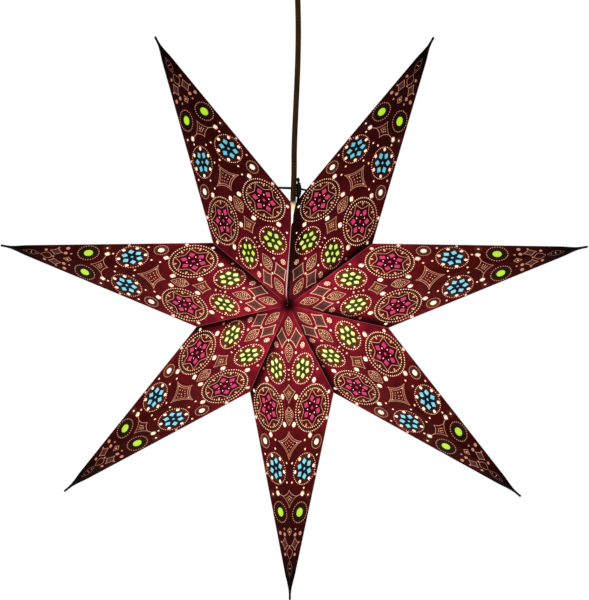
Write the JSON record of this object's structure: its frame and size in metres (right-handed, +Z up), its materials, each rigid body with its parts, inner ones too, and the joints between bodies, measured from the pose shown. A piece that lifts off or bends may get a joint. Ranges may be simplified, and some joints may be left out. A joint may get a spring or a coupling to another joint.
{
  "type": "paper star lantern",
  "caption": "Folding paper star lantern of pierced card points round a screw-in lamp, tied at an open seam and hung on a pendant cord from a ceiling cup.",
  "frame": {"origin": "middle of the ceiling plate's top face, which lies against the ceiling", "axes": "+Z up to the ceiling, the star's front faces -Y, +X to the viewer's right"},
  "size_m": [0.588, 0.1488, 0.678],
  "materials": {
    "printed_card": "matte printed card",
    "pink_paper": "thin coloured paper",
    "lime_paper": "thin coloured paper",
    "blue_paper": "thin coloured paper",
    "tie_string": "twisted string",
    "cord_sheath": "matte",
    "wire_sheath": "matte",
    "gland_plastic": "matte",
    "holder_plastic": "matte",
    "ceramic": "unglazed",
    "brass": "bright",
    "nickel": "bright",
    "insulator": "matte",
    "bulb_glass": "clear",
    "filament": "glowing",
    "steel": "zinc plated",
    "cup_paint": "satin",
    "terminal_plastic": "matte"
  },
  "bodies": {
    "ceiling_fitting": {"ceiling_plate": "steel", "ceiling_cup": "cup_paint", "cup_screws": "steel", "cord_gland": "gland_plastic", "gland_nut": "gland_plastic", "terminal_block": "terminal_plastic", "cord_tail": "cord_sheath"},
    "cord": {"pendant_cord": "cord_sheath"},
    "lamp": {"holder_cap": "holder_plastic", "holder_cord_grip": "holder_plastic", "holder_skirt": "holder_plastic", "holder_core": "ceramic", "holder_wires": "wire_sheath", "screw_sleeve": "brass", "blue_papers_4": "blue_paper", "glue_tabs_4": "printed_card", "lime_papers_4": "lime_paper", "pink_papers_4": "pink_paper", "point_4": "printed_card"},
    "contact_tongue": {"centre_contact": "brass"},
    "bulb": {"bulb_glass": "bulb_glass", "bulb_cap": "nickel", "bulb_insulator": "insulator", "bulb_contact": "nickel", "bulb_stem": "bulb_glass", "bulb_filaments": "filament"},
    "star_point_1": {"blue_papers_1": "blue_paper", "lime_papers_1": "lime_paper", "pink_papers_1": "pink_paper", "point_1": "printed_card", "tie_string_left": "tie_string"},
    "star_point_2": {"blue_papers_2": "blue_paper", "glue_tabs_2": "printed_card", "lime_papers_2": "lime_paper", "pink_papers_2": "pink_paper", "point_2": "printed_card"},
    "star_point_3": {"blue_papers_3": "blue_paper", "glue_tabs_3": "printed_card", "lime_papers_3": "lime_paper", "pink_papers_3": "pink_paper", "point_3": "printed_card"},
    "star_point_5": {"blue_papers_5": "blue_paper", "glue_tabs_5": "printed_card", "lime_papers_5": "lime_paper", "pink_papers_5": "pink_paper", "point_5": "printed_card"},
    "star_point_6": {"blue_papers_6": "blue_paper", "glue_tabs_6": "printed_card", "lime_papers_6": "lime_paper", "pink_papers_6": "pink_paper", "point_6": "printed_card"},
    "star_point_7": {"blue_papers_7": "blue_paper", "glue_tabs_7": "printed_card", "lime_papers_7": "lime_paper", "pink_papers_7": "pink_paper", "point_7": "printed_card", "seam_tabs": "printed_card", "tie_string_right": "tie_string", "tie_knot": "tie_string"}
  },
  "joints": [
    {"name": "pendant_swing", "type": "hinge", "parent": "ceiling_fitting", "child": "cord", "pos_m": [0, 0, -0.05], "axis": [1, 0, 0], "range_deg": [-15, 15]},
    {"name": "star_turn", "type": "hinge", "parent": "cord", "child": "lamp", "pos_m": [-0.0045, 0, -0.302], "axis": [0, 0, 1], "range_deg": [-180, 180]},
    {"name": "star_fold", "type": "hinge", "parent": "lamp", "child": "star_point_1", "pos_m": [-0.0045, 0, -0.378], "axis": [0, -1, 0], "range_deg": [0, 132.63], "deforming": ["blue_papers_1", "lime_papers_1", "pink_papers_1", "point_1", "blue_papers_4", "glue_tabs_4", "lime_papers_4", "pink_papers_4", "point_4"]},
    {"name": "point_2_fold", "type": "hinge", "parent": "lamp", "child": "star_point_2", "pos_m": [-0.0045, 0, -0.378], "axis": [0, -1, 0], "range_deg": [0, 88.43], "deforming": ["blue_papers_2", "glue_tabs_2", "lime_papers_2", "pink_papers_2", "point_2"]},
    {"name": "point_3_fold", "type": "hinge", "parent": "lamp", "child": "star_point_3", "pos_m": [-0.0045, 0, -0.378], "axis": [0, -1, 0], "range_deg": [0, 44.22], "deforming": ["blue_papers_3", "glue_tabs_3", "lime_papers_3", "pink_papers_3", "point_3"]},
    {"name": "point_5_fold", "type": "hinge", "parent": "lamp", "child": "star_point_5", "pos_m": [-0.0045, 0, -0.378], "axis": [0, -1, 0], "range_deg": [-44.22, 0], "deforming": ["blue_papers_5", "glue_tabs_5", "lime_papers_5", "pink_papers_5", "point_5"]},
    {"name": "point_6_fold", "type": "hinge", "parent": "lamp", "child": "star_point_6", "pos_m": [-0.0045, 0, -0.378], "axis": [0, -1, 0], "range_deg": [-88.43, 0], "deforming": ["blue_papers_6", "glue_tabs_6", "lime_papers_6", "pink_papers_6", "point_6"]},
    {"name": "point_7_fold", "type": "hinge", "parent": "lamp", "child": "star_point_7", "pos_m": [-0.0045, 0, -0.378], "axis": [0, -1, 0], "range_deg": [-132.64, 0], "deforming": ["blue_papers_7", "glue_tabs_7", "lime_papers_7", "pink_papers_7", "point_7", "seam_tabs"]},
    {"name": "contact_slide", "type": "slide", "parent": "lamp", "child": "contact_tongue", "axis": [0, 0, -1], "range_m": [0, 0.00283]},
    {"name": "bulb_turn", "type": "hinge", "parent": "contact_tongue", "child": "bulb", "pos_m": [-0.0045, 0, -0.378], "axis": [0, 0, -1], "range_deg": [0, 360]}
  ],
  "couplings": [
    {"joint": "point_2_fold", "follows": "star_fold", "ratio": 0.66667},
    {"joint": "point_3_fold", "follows": "star_fold", "ratio": 0.33333},
    {"joint": "point_5_fold", "follows": "star_fold", "ratio": -0.33333},
    {"joint": "point_6_fold", "follows": "star_fold", "ratio": -0.66667},
    {"joint": "point_7_fold", "follows": "star_fold", "ratio": -1},
    {"joint": "contact_slide", "follows": "bulb_turn", "m_per_rad": 0.00044914}
  ]
}
